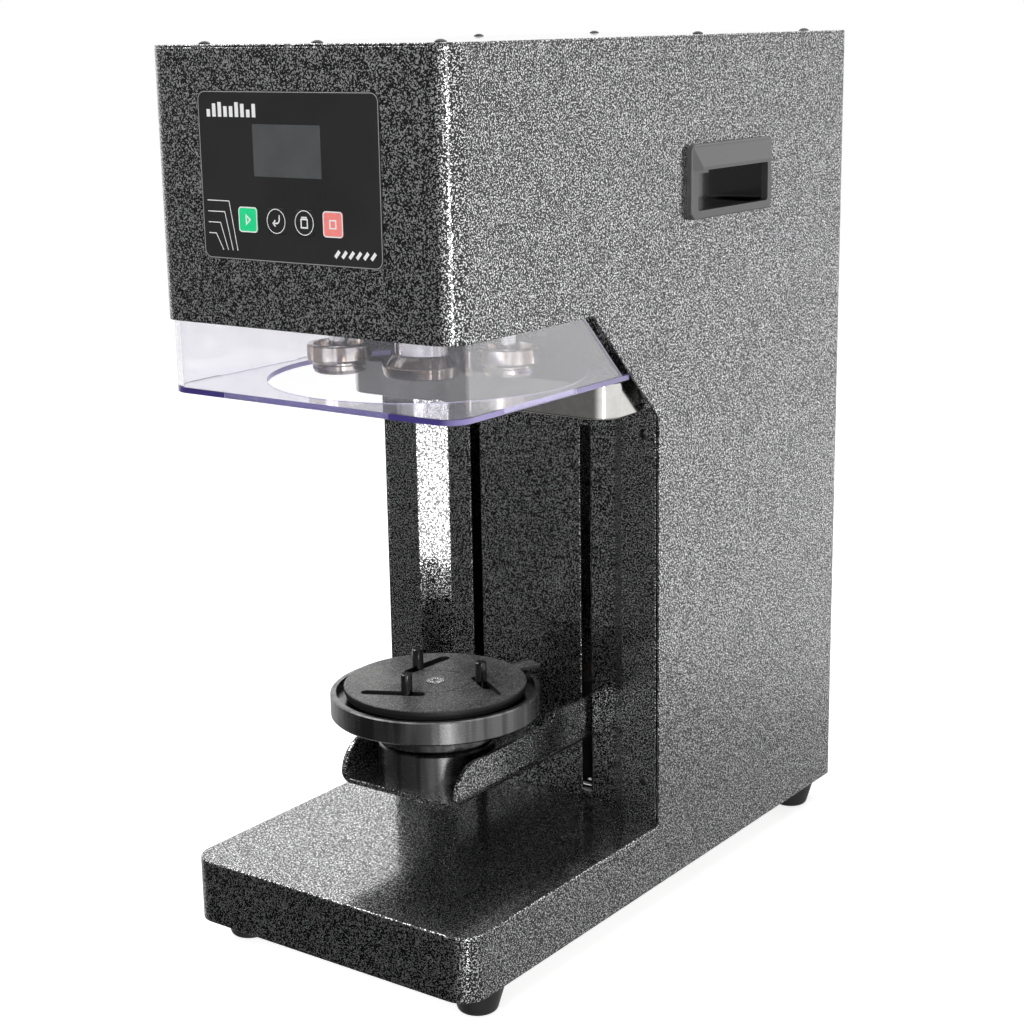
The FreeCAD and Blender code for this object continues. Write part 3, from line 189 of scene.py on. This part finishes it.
def milled_metal(name, colour, roughness):
    g = Graph(name)
    g.set(Metallic=1.0)
    lines = g.noise(1.0, detail=2.0, coords=g.stretch(2500, 60, 60))
    stain_and_painted_bands = g.noise(30, detail=4.0)
    g.feed(g.mix(g.ramp(stain_and_painted_bands, 0.35, 0.7), tuple(c * 0.8 for c in colour), colour), "Base Color")
    g.feed(g.ramp(lines, 0.3, 0.7, roughness - 0.06, roughness + 0.08), "Roughness")
    g.bump(lines, 0.1, 0.00005)
    return g.mat


def polished_sheet(name="polished_stainless"):
    """Mirror-polished sheet with slight waviness and fine handling marks."""
    g = Graph(name)
    g.set(Metallic=1.0)
    waves = g.noise(14, detail=1.0)
    smears = g.noise(70, detail=5.0, roughness=0.65)
    g.feed(g.mix(g.ramp(smears, 0.3, 0.7), (0.56, 0.545, 0.53), (0.7, 0.69, 0.67)), "Base Color")
    g.feed(g.ramp(smears, 0.3, 0.75, 0.07, 0.2), "Roughness")
    g.bump(waves, 0.25, 0.0015)
    return g.mat


def grip_plastic(name="grip_plastic"):
    """Black moulded grip: spark-eroded on its rim, polished inside the hollow, where the colour is darkened
    as painted shade in the recess.
    """
    g = Graph(name)
    g.set(IOR=2.0)
    split = g.tree.nodes.new("ShaderNodeSeparateXYZ")
    g.link(g.coords, split.inputs["Vector"])
    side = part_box("casing")[1][0]
    rim = g.ramp(g.math("ABSOLUTE", split.outputs["X"], 0), side - 0.001, side)
    grain = g.noise(2200, detail=2.0)
    # the hollow is near-black against the rim: painted shade inside the recess
    g.feed(g.mix(rim, (0.003, 0.003, 0.003), (0.045, 0.045, 0.046)), "Base Color")
    rough = g.math("ADD", g.ramp(rim, 0, 1, 0.1, 0.34), g.ramp(grain, 0.3, 0.7, -0.03, 0.05))
    g.feed(rough, "Roughness")
    g.bump(g.math("MULTIPLY", grain, rim), 0.25, 0.0001)
    return g.mat


def moulded_plastic(name, colour, roughness, texture=2200):
    """Injection-moulded plastic with a fine spark-eroded texture."""
    g = Graph(name)
    grain = g.noise(texture, detail=2.0)
    wear = g.noise(40, detail=3.0)
    light = tuple(min(c * 1.25 + 0.004, 1) for c in colour)
    g.feed(g.mix(g.ramp(wear, 0.35, 0.7), colour, light), "Base Color")
    g.feed(g.ramp(grain, 0.3, 0.7, roughness - 0.05, roughness + 0.07), "Roughness")
    g.bump(grain, 0.18, 0.0001)
    return g.mat


def gloss_plastic(name, colour, roughness=0.12):
    g = Graph(name)
    smears = g.noise(60, detail=4.0)
    light = tuple(min(c * 1.15 + 0.003, 1) for c in colour)
    g.feed(g.mix(g.ramp(smears, 0.3, 0.7), colour, light), "Base Color")
    g.feed(g.ramp(smears, 0.3, 0.7, roughness - 0.03, roughness + 0.06), "Roughness")
    g.bump(g.noise(20, detail=1.0), 0.05, 0.0004)
    return g.mat


def panel_film(name="panel_film"):
    """Matt black printed film with faint dust and rub marks."""
    g = Graph(name)
    dust = g.noise(900, detail=3.0, roughness=0.7)
    rubs = g.noise(30, detail=4.0)
    level = g.math("ADD", g.ramp(dust, 0.62, 0.8, 0.0, 0.6), g.ramp(rubs, 0.3, 0.8, 0.0, 0.25))
    g.feed(g.mix(level, (0.013, 0.013, 0.0135), (0.03, 0.03, 0.031)), "Base Color")
    g.feed(g.ramp(rubs, 0.3, 0.7, 0.38, 0.5), "Roughness")
    g.bump(g.noise(1500, detail=2.0), 0.12, 0.0001)
    return g.mat


def clear_shield(name, level_edges):
    """Clear sheet with violet cut edges, painted light and shade: deep in front, where they
    face the dark column, and light at the sides and round the chuck's opening, where they face the bright
    room.
    level_edges says that the cut edges look up or down, as on the wall, and not sideways."""
    g = Graph(name)
    haze = g.noise(50, detail=3.0)
    g.set(Base_Color=(0.945, 0.937, 0.965, 1), IOR=1.5, Transmission_Weight=1.0)
    g.feed(g.ramp(haze, 0.3, 0.75, 0.0, 0.03), "Roughness")
    light = g.tree.nodes.new("ShaderNodeLightPath")
    clear = g.tree.nodes.new("ShaderNodeBsdfTransparent")
    clear.inputs["Color"].default_value = (0.93, 0.92, 0.96, 1)
    dust = g.tree.nodes.new("ShaderNodeBsdfDiffuse")
    dust.inputs["Color"].default_value = (0.76, 0.75, 0.86, 1)
    edge = g.tree.nodes.new("ShaderNodeBsdfPrincipled")
    edge.inputs["Roughness"].default_value = 0.3
    edge.inputs["Transmission Weight"].default_value = 0.35
    axis, hole_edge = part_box("chuck"), HOLE_RADIUS + 1 * MM
    reach = g.distance((axis[0][0] + axis[1][0]) / 2, (axis[0][1] + axis[1][1]) / 2)
    hole = g.ramp(reach, hole_edge, hole_edge + MM, 1.0, 0.0)
    # sides and the chuck's opening painted lighter than the front edges: painted light from the room they
    # face
    painted_light_edge = g.math("MAXIMUM", g.ramp(g.along(0), 0.3, 0.95), hole)
    g.link(g.mix(painted_light_edge, (0.05, 0.035, 0.22), (0.5, 0.42, 0.84)), edge.inputs["Base Color"])

    def blend(factor, first, second):
        node = g.tree.nodes.new("ShaderNodeMixShader")
        g.link(factor, node.inputs["Fac"])
        g.link(first, node.inputs[1])
        g.link(second, node.inputs[2])
        return node.outputs["Shader"]

    dusty = blend(g.ramp(haze, 0.3, 0.7, 0.02, 0.06), g.bsdf.outputs["BSDF"], dust.outputs["BSDF"])
    cut = g.ramp(g.upright(), 0.25, 0.3) if level_edges else g.ramp(g.upright(), 0.7, 0.75, 1.0, 0.0)
    solid = blend(cut, dusty, edge.outputs["BSDF"])
    g.link(blend(light.outputs["Is Shadow Ray"], solid, clear.outputs["BSDF"]), g.out.inputs["Surface"])
    return g.mat


def rubber(name="foot_rubber"):
    g = Graph(name)
    bloom = g.noise(60, detail=5.0, roughness=0.6)
    g.feed(g.mix(g.ramp(bloom, 0.35, 0.7), (0.009, 0.009, 0.0095), (0.02, 0.02, 0.021)), "Base Color")
    g.feed(g.ramp(bloom, 0.3, 0.7, 0.34, 0.5), "Roughness")
    g.bump(g.noise(1400, detail=2.0), 0.15, 0.0002)
    return g.mat


def textured_plate(name="table_coating"):
    """Black powder coat with a fine granular relief."""
    g = Graph(name)
    grain = g.noise(1300, detail=1.0, roughness=0.6)
    rub = g.noise(30, detail=4.0)
    # light flecks on the granules: painted glints on the granular relief; the broad rubs are wear
    tone = g.math("ADD", g.ramp(grain, 0.48, 0.64, 0.0, 0.85), g.ramp(rub, 0.4, 0.8, 0.0, 0.3))
    # only level faces keep flecks and rubs; vertical sides are left black: painted shade on the plate's
    # sides in the gap to the ring
    tone = g.math("MULTIPLY", tone, g.ramp(g.upright(), 0.6, 0.9))
    g.feed(g.mix(tone, (0.012, 0.012, 0.012), (0.42, 0.415, 0.405)), "Base Color")
    g.feed(g.ramp(grain, 0.3, 0.7, 0.32, 0.45), "Roughness")
    g.bump(grain, 0.6, 0.0002)
    return g.mat


def printed(name, colour, roughness=0.35):
    """Screen-printed ink, a little thinner in places."""
    g = Graph(name)
    thin = g.noise(400, detail=3.0)
    g.feed(g.mix(g.ramp(thin, 0.3, 0.7), tuple(c * 0.93 for c in colour), colour), "Base Color")
    g.feed(g.ramp(thin, 0.3, 0.7, roughness - 0.04, roughness + 0.08), "Roughness")
    return g.mat


def make_finishes():
    steel = turned_metal("turned_steel", (0.8, 0.765, 0.72), 0.13, painted_band_shade_and_tarnish=(0.3, 0.25, 0.22))
    bright = turned_metal("ground_steel", (0.66, 0.66, 0.66), 0.16)
    dark = turned_metal("dark_turned", (0.2, 0.2, 0.202), 0.25, painted_band_shade_and_tarnish=(0.6, 0.6, 0.6))
    plated = milled_metal("plated_sheet", (0.6, 0.6, 0.58), 0.34)
    return {
        "hammertone_paint": hammertone(),
        "plated_steel": plated,
        "polished_steel": polished_sheet(),
        "clear_shield": clear_shield("shield_sheet", level_edges=True),
        "shield_plate": clear_shield("shield_plate_sheet", level_edges=False),
        "black_plastic": grip_plastic(),
        "panel_film": panel_film(),
        "display_window": gloss_plastic("display_gloss", (0.07, 0.073, 0.076), 0.14),
        "circuit_board": gloss_plastic("board_lacquer", (0.03, 0.2, 0.08), 0.3),
        "rubber_feet": rubber(),
        "black_screws": turned_metal("black_oxide", (0.09, 0.09, 0.092), 0.16),
        "cast_aluminium": milled_metal("machined_aluminium", (0.72, 0.72, 0.72), 0.36),
        "motor_case": moulded_plastic("motor_paint", (0.03, 0.03, 0.032), 0.45, 900),
        "bright_steel": bright,
        "machined_steel": milled_metal("milled_steel", (0.68, 0.7, 0.69), 0.33),
        "dark_turned_metal": dark,
        "black_textured_plate": textured_plate(),
        "belt_rubber": moulded_plastic("belt_surface", (0.03, 0.03, 0.03), 0.55, 1500),
        "nut_brass": turned_metal("nut_bronze", (0.62, 0.43, 0.18), 0.3),
        "green_key": printed("green_print", (0.016, 0.74, 0.28)),
        "red_key": printed("red_print", (0.96, 0.27, 0.245)),
        "black_key": printed("black_print", (0.016, 0.016, 0.017)),
        "roll_steel": steel,
        "white_ink": printed("white_print", (0.9, 0.9, 0.9)),
        "outline_ink": printed("grey_print", (0.33, 0.33, 0.33)),
    }


def dress(obj, material):
    obj.data.materials.clear()
    obj.data.materials.append(material)


def dress_cad_nodes(finishes):
    """Every CAD node takes the finish of its slot in the record."""
    for part in frame["record"]["subparts"]:
        dress(NODES[part["node"]], finishes[part["material_slot"]])
    for node in ("chuck", "seaming_roll_left", "seaming_roll_right"):
        dress(NODES[node], finishes["roll_steel"])
    for number in (1, 2, 3):
        dress(NODES["centring_pin_%d" % number], finishes["black_screws"])
    dress(NODES["shield_floor"], finishes["shield_plate"])


# ---- mesh helpers -----------------------------------------------------------
def add_object(name, bm, material, body):
    mesh = bpy.data.meshes.new(name)
    bmesh.ops.recalc_face_normals(bm, faces=bm.faces)
    bm.to_mesh(mesh)
    bm.free()
    obj = bpy.data.objects.new(name, mesh)
    bpy.context.scene.collection.objects.link(obj)
    dress(obj, material)
    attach(obj, body)
    return obj


def ribbon(bm, points, width, y, thickness, closed=False):
    """Printed line in the panel's plane: a thin strip along (x, z) points."""
    count = len(points)
    rows = []
    for i, (x, z) in enumerate(points):
        before = Vector(points[i - 1] if i or closed else points[0])
        after = Vector(points[(i + 1) % count] if i < count - 1 or closed else points[-1])
        here = Vector((x, z))
        first = (here - before).normalized() if (here - before).length else (after - here).normalized()
        second = (after - here).normalized() if (after - here).length else first
        tangent = (first + second).normalized()
        normal = Vector((-tangent.y, tangent.x))
        mitre = 1 / max(normal.dot(Vector((-first.y, first.x))), 0.4)
        side = normal * (width / 2 * mitre)
        row = []
        for depth in (0.0, -thickness):
            row += [bm.verts.new((x + s * side.x, y + depth, z + s * side.y)) for s in (-1, 1)]
        rows.append(row)
    spans = list(zip(rows, rows[1:])) + ([(rows[-1], rows[0])] if closed else [])
    for a, b in spans:
        for i, j in ((0, 1), (1, 3), (3, 2), (2, 0)):
            bm.faces.new((a[i], a[j], b[j], b[i]))
    if not closed:
        for row in (rows[0], rows[-1]):
            bm.faces.new((row[0], row[1], row[3], row[2]))


def rounded_loop(x0, x1, z0, z1, r, steps=6):
    """Points of a rounded rectangle."""
    corners = [(x1 - r, z1 - r, 0), (x0 + r, z1 - r, 90), (x0 + r, z0 + r, 180), (x1 - r, z0 + r, 270)]
    loop = []
    for cx, cz, start in corners:
        for i in range(steps + 1):
            a = math.radians(start + 90 * i / steps)
            loop.append((cx + r * math.cos(a), cz + r * math.sin(a)))
    return loop


def arc(cx, cz, r, start, end, steps=24):
    angles = [math.radians(start + (end - start) * i / steps) for i in range(steps + 1)]
    return [(cx + r * math.cos(a), cz + r * math.sin(a)) for a in angles]


# ---- control panel print ----------------------------------------------------
INK = 0.06 * MM
FINE_LINE = 0.45 * MM
BOLD_LINE = 0.8 * MM


def key_centre(node):
    lo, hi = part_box(node)
    return (lo[0] + hi[0]) / 2, (lo[2] + hi[2]) / 2, lo[1]


def print_key(node, body, finishes, icons, border):
    """White border and icon on one key; the icon is given as lines about its centre."""
    x, z, y = key_centre(node)
    bm = bmesh.new()
    if border == "square":
        half = 6.6 * MM
        frame_line = rounded_loop(x - half, x + half, z - half, z + half, 1.8 * MM)
        ribbon(bm, frame_line, BOLD_LINE * 0.8, y, INK, True)
    else:
        ring = arc(x, z, 6.5 * MM, 0, 345, 47) + arc(x, z, 6.5 * MM, 345, 352.5, 1)[1:]
        ribbon(bm, ring, BOLD_LINE * 0.55, y, INK, True)
    for points, closed in icons:
        ribbon(bm, [(x + px * MM, z + pz * MM) for px, pz in points], BOLD_LINE, y, INK, closed)
    obj = add_object(node + "_print", bm, finishes["white_ink"], body)


def print_keys(finishes):
    play = [([(-1.3, 2.4), (1.7, 0.0), (-1.3, -2.4)], True)]
    enter = [([(2.4, 3.4), (2.4, 0.9), (1.9, -0.4), (0.9, -1.1), (-1.8, -1.1)], False),
             ([(-0.5, 0.6), (-2.2, -1.1), (-0.5, -2.8)], False)]
    mode = [([(-2.2, -2.6), (2.2, -2.6), (2.2, 1.9), (-2.2, 1.9)], True),
            ([(-2.0, 2.9), (2.0, 2.9)], False)]
    stop = [([(-2.1, -2.1), (2.1, -2.1), (2.1, 2.1), (-2.1, 2.1)], True)]
    print_key("key_start", "start_key", finishes, play, "square")
    print_key("key_enter", "enter_key", finishes, enter, "circle")
    print_key("key_mode", "mode_key", finishes, mode, "circle")
    print_key("key_stop", "stop_key", finishes, stop, "square")


def print_panel(finishes):
    """Outline of the film, and a plain line motif in place of any name or picture."""
    lo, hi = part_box("control_overlay")
    y = lo[1]
    bm = bmesh.new()
    inset = 0.5 * MM
    ribbon(bm, rounded_loop(lo[0] + inset, hi[0] - inset, lo[2] + inset, hi[2] - inset, 4.6 * MM),
           FINE_LINE, y, INK, True)
    outline = add_object("panel_outline", bm, finishes["outline_ink"], "frame")
    bm = bmesh.new()
    base_x, base_z = lo[0] + 4 * MM, lo[2] + 5 * MM
    for i in range(4):
        reach = (9 + 6 * i) * MM
        ribbon(bm, [(base_x, base_z + reach), (base_x + reach * 0.6, base_z + reach),
                    (base_x + reach * 0.6 + 5 * MM, base_z)], BOLD_LINE * 0.6, y, INK)
    for i in range(9):
        x = lo[0] + (8 + 4.2 * i) * MM
        tall = (4 + 4 * abs(math.sin(i * 0.9))) * MM
        ribbon(bm, [(x, hi[2] - 14 * MM), (x, hi[2] - 14 * MM + tall)], 2.6 * MM, y, INK)
    for i in range(6):
        x = hi[0] - (33 - 5 * i) * MM
        ribbon(bm, [(x, lo[2] + 5 * MM), (x + 3 * MM, lo[2] + 8.5 * MM)], 2.0 * MM, y, INK)
    motif = add_object("panel_motif", bm, finishes["white_ink"], "frame")


# ---- stage, light, camera ---------------------------------------------------
CAMERA_PLACE = (0.7319, -1.02475, 0.5561)
CAMERA_AZIMUTH = 36.136
CAMERA_ELEVATION = 13.870
CAMERA_ROLL = -0.975
CAMERA_LENS = 70.3


def make_camera():
    az, el, roll = (math.radians(a) for a in (CAMERA_AZIMUTH, CAMERA_ELEVATION, CAMERA_ROLL))
    forward = Vector((-math.sin(az) * math.cos(el), math.cos(az) * math.cos(el), -math.sin(el)))
    level = Vector((math.cos(az), math.sin(az), 0))
    right = level * math.cos(roll) + level.cross(forward) * math.sin(roll)
    up = right.cross(forward)
    data = bpy.data.cameras.new("camera")
    data.lens = CAMERA_LENS
    data.sensor_width = 36.0
    data.clip_start = 0.05
    camera = bpy.data.objects.new("camera", data)
    turn = Matrix((right, up, -forward)).transposed().to_4x4()
    camera.matrix_world = Matrix.Translation(CAMERA_PLACE) @ turn
    bpy.context.scene.collection.objects.link(camera)
    bpy.context.scene.camera = camera


def softbox(name, place, target, size, brightness, mirrored=True):
    """Evenly lit rectangle that the camera doesn't see; brightness 1 is white."""
    data = bpy.data.lights.new(name, "AREA")
    data.shape = "RECTANGLE"
    data.size, data.size_y = size
    data.energy = brightness * math.pi * size[0] * size[1]
    lamp = bpy.data.objects.new(name, data)
    lamp.location = place
    lamp.rotation_euler = (Vector(target) - Vector(place)).to_track_quat("-Z", "Y").to_euler()
    lamp.visible_camera = False
    lamp.visible_glossy = mirrored
    bpy.context.scene.collection.objects.link(lamp)
    return lamp


def flag(lamp, nodes, state):
    """Flags a lamp off some pieces (EXCLUDE) or off all but those (INCLUDE)."""
    linked = bpy.data.collections.new(lamp.name + "_flag")
    for node in nodes:
        linked.objects.link(NODES[node])
    lamp.light_linking.receiver_collection = linked
    for item in linked.collection_objects:
        item.light_linking.link_state = state


def around(azimuth, distance, height):
    """Point at an angle to the right of the machine's front."""
    a = math.radians(azimuth)
    return (distance * math.sin(a), -distance * math.cos(a), height)


def make_lamps():
    """A tall softbox right of the camera, no higher than the lid, so that the lid
    doesn't mirror it, and reaching below the table's edge; broad
    diffusers overhead and in front, one high on the left that draws the upper
    edges, and a card behind the right side that only the clear shield mirrors."""
    middle = (0, 0, 0.28)
    key = softbox("key", around(49, 1.25, 0.075), (0, 0, 0.075), (0.14, 0.95), 8.0)
    card = softbox("card", (0.75, 0.72, 0.2), (0.11, -0.14, 0.39), (0.9, 0.4), 1.6)
    shield = ("shield_wall", "shield_floor")
    flag(key, shield, "EXCLUDE")
    flag(card, shield, "INCLUDE")
    softbox("overhead", (0.2, 0.3, 2.2), middle, (1.6, 1.6), 2.0, mirrored=False)
    softbox("left", (-1.1, -0.5, 1.7), middle, (0.8, 0.8), 4.0)
    softbox("front", (0.25, -1.6, 0.9), middle, (1.2, 1.2), 2.5, mirrored=False)


DARK_SIDE = Vector((-0.55, -0.83, -0.05)).normalized()
LIGHT_LEVELS = ((-1.0, 0.4), (-0.345, 0.5), (-0.3, 1.12), (-0.12, 1.1),
                (0.0, 0.95), (0.22, 1.35), (1.0, 1.35))
DARK_LEVELS = ((-1.0, 0.03), (-0.4, 0.04), (-0.25, 0.13), (-0.12, 0.2),
               (0.0, 0.28), (0.3, 0.4), (1.0, 0.5))
TOP_LEVEL = 1.5


def make_world():
    """White to the camera; what gloss and clear parts mirror is a white studio
    that falls off to a darker room on the operator's left and to a darker table
    below. The levels run from straight down (-1) to straight up (1)."""
    world = bpy.data.worlds.new("studio")
    bpy.context.scene.world = world
    world.use_nodes = True
    tree = world.node_tree
    tree.nodes.clear()
    new, link = tree.nodes.new, tree.links.new
    coords = new("ShaderNodeTexCoord").outputs["Generated"]
    split = new("ShaderNodeSeparateXYZ")
    link(coords, split.inputs["Vector"])

    def level_by_height(levels):
        ramp = new("ShaderNodeValToRGB")
        height = new("ShaderNodeMapRange")
        height.inputs["From Min"].default_value = -1.0
        link(split.outputs["Z"], height.inputs["Value"])
        link(height.outputs["Result"], ramp.inputs["Fac"])
        stops = ramp.color_ramp.elements
        while len(stops) < len(levels):
            stops.new(0.5)
        for stop, (z, value) in zip(stops, levels):
            stop.position = (z + 1) / 2
            stop.color = (value / TOP_LEVEL,) * 3 + (1,)
        return ramp.outputs["Color"]

    dot = new("ShaderNodeVectorMath")
    dot.operation = "DOT_PRODUCT"
    dot.inputs[1].default_value = DARK_SIDE
    fall = new("ShaderNodeMapRange")
    fall.interpolation_type = "SMOOTHSTEP"
    fall.inputs["From Min"].default_value = 0.35
    fall.inputs["From Max"].default_value = 0.85
    room = new("ShaderNodeMix")
    room.data_type = "RGBA"
    link(coords, dot.inputs[0])
    link(dot.outputs["Value"], fall.inputs["Value"])
    link(fall.outputs["Result"], room.inputs["Factor"])
    link(level_by_height(LIGHT_LEVELS), room.inputs["A"])
    link(level_by_height(DARK_LEVELS), room.inputs["B"])
    seen, mirrored, diffuse = (new("ShaderNodeBackground") for _ in range(3))
    for sky in (seen, diffuse):
        sky.inputs["Color"].default_value = (1, 1, 1, 1)
    link(room.outputs["Result"], mirrored.inputs["Color"])
    mirrored.inputs["Strength"].default_value = TOP_LEVEL
    diffuse.inputs["Strength"].default_value = 0.2
    path = new("ShaderNodeLightPath").outputs
    straight = new("ShaderNodeMath")
    straight.operation = "MAXIMUM"
    bounced, final = new("ShaderNodeMixShader"), new("ShaderNodeMixShader")
    out = new("ShaderNodeOutputWorld")
    link(path["Is Glossy Ray"], bounced.inputs["Fac"])
    link(diffuse.outputs[0], bounced.inputs[1])
    link(mirrored.outputs[0], bounced.inputs[2])
    link(path["Is Camera Ray"], straight.inputs[0])
    link(path["Is Transmission Ray"], straight.inputs[1])
    link(straight.outputs["Value"], final.inputs["Fac"])
    link(bounced.outputs[0], final.inputs[1])
    link(seen.outputs[0], final.inputs[2])
    link(final.outputs[0], out.inputs["Surface"])


def make_floor():
    """Pale floor that reads as white where nothing shades it. Gloss doesn't
    mirror it, so that the studio's tone shows there right down to the feet."""
    bm = bmesh.new()
    bmesh.ops.create_grid(bm, x_segments=1, y_segments=1, size=8.0)
    mesh = bpy.data.meshes.new("floor")
    bm.to_mesh(mesh)
    bm.free()
    floor = bpy.data.objects.new("floor", mesh)
    floor.location.z = -0.0003
    floor.visible_glossy = False
    bpy.context.scene.collection.objects.link(floor)
    g = Graph("floor_white")
    g.set(Base_Color=(0.86, 0.86, 0.86, 1), Roughness=0.9, Emission_Color=(1, 1, 1, 1))
    path = g.tree.nodes.new("ShaderNodeLightPath").outputs
    seen = g.math("MAXIMUM", path["Is Camera Ray"], path["Is Transmission Ray"])
    g.feed(g.math("MULTIPLY", seen, 0.76), "Emission Strength")
    dress(floor, g.mat)


def main():
    scene = bpy.context.scene
    scene.view_settings.view_transform = "Standard"
    finishes = make_finishes()
    dress_cad_nodes(finishes)
    print_keys(finishes)
    print_panel(finishes)
    make_floor()
    make_lamps()
    make_world()
    make_camera()


main()
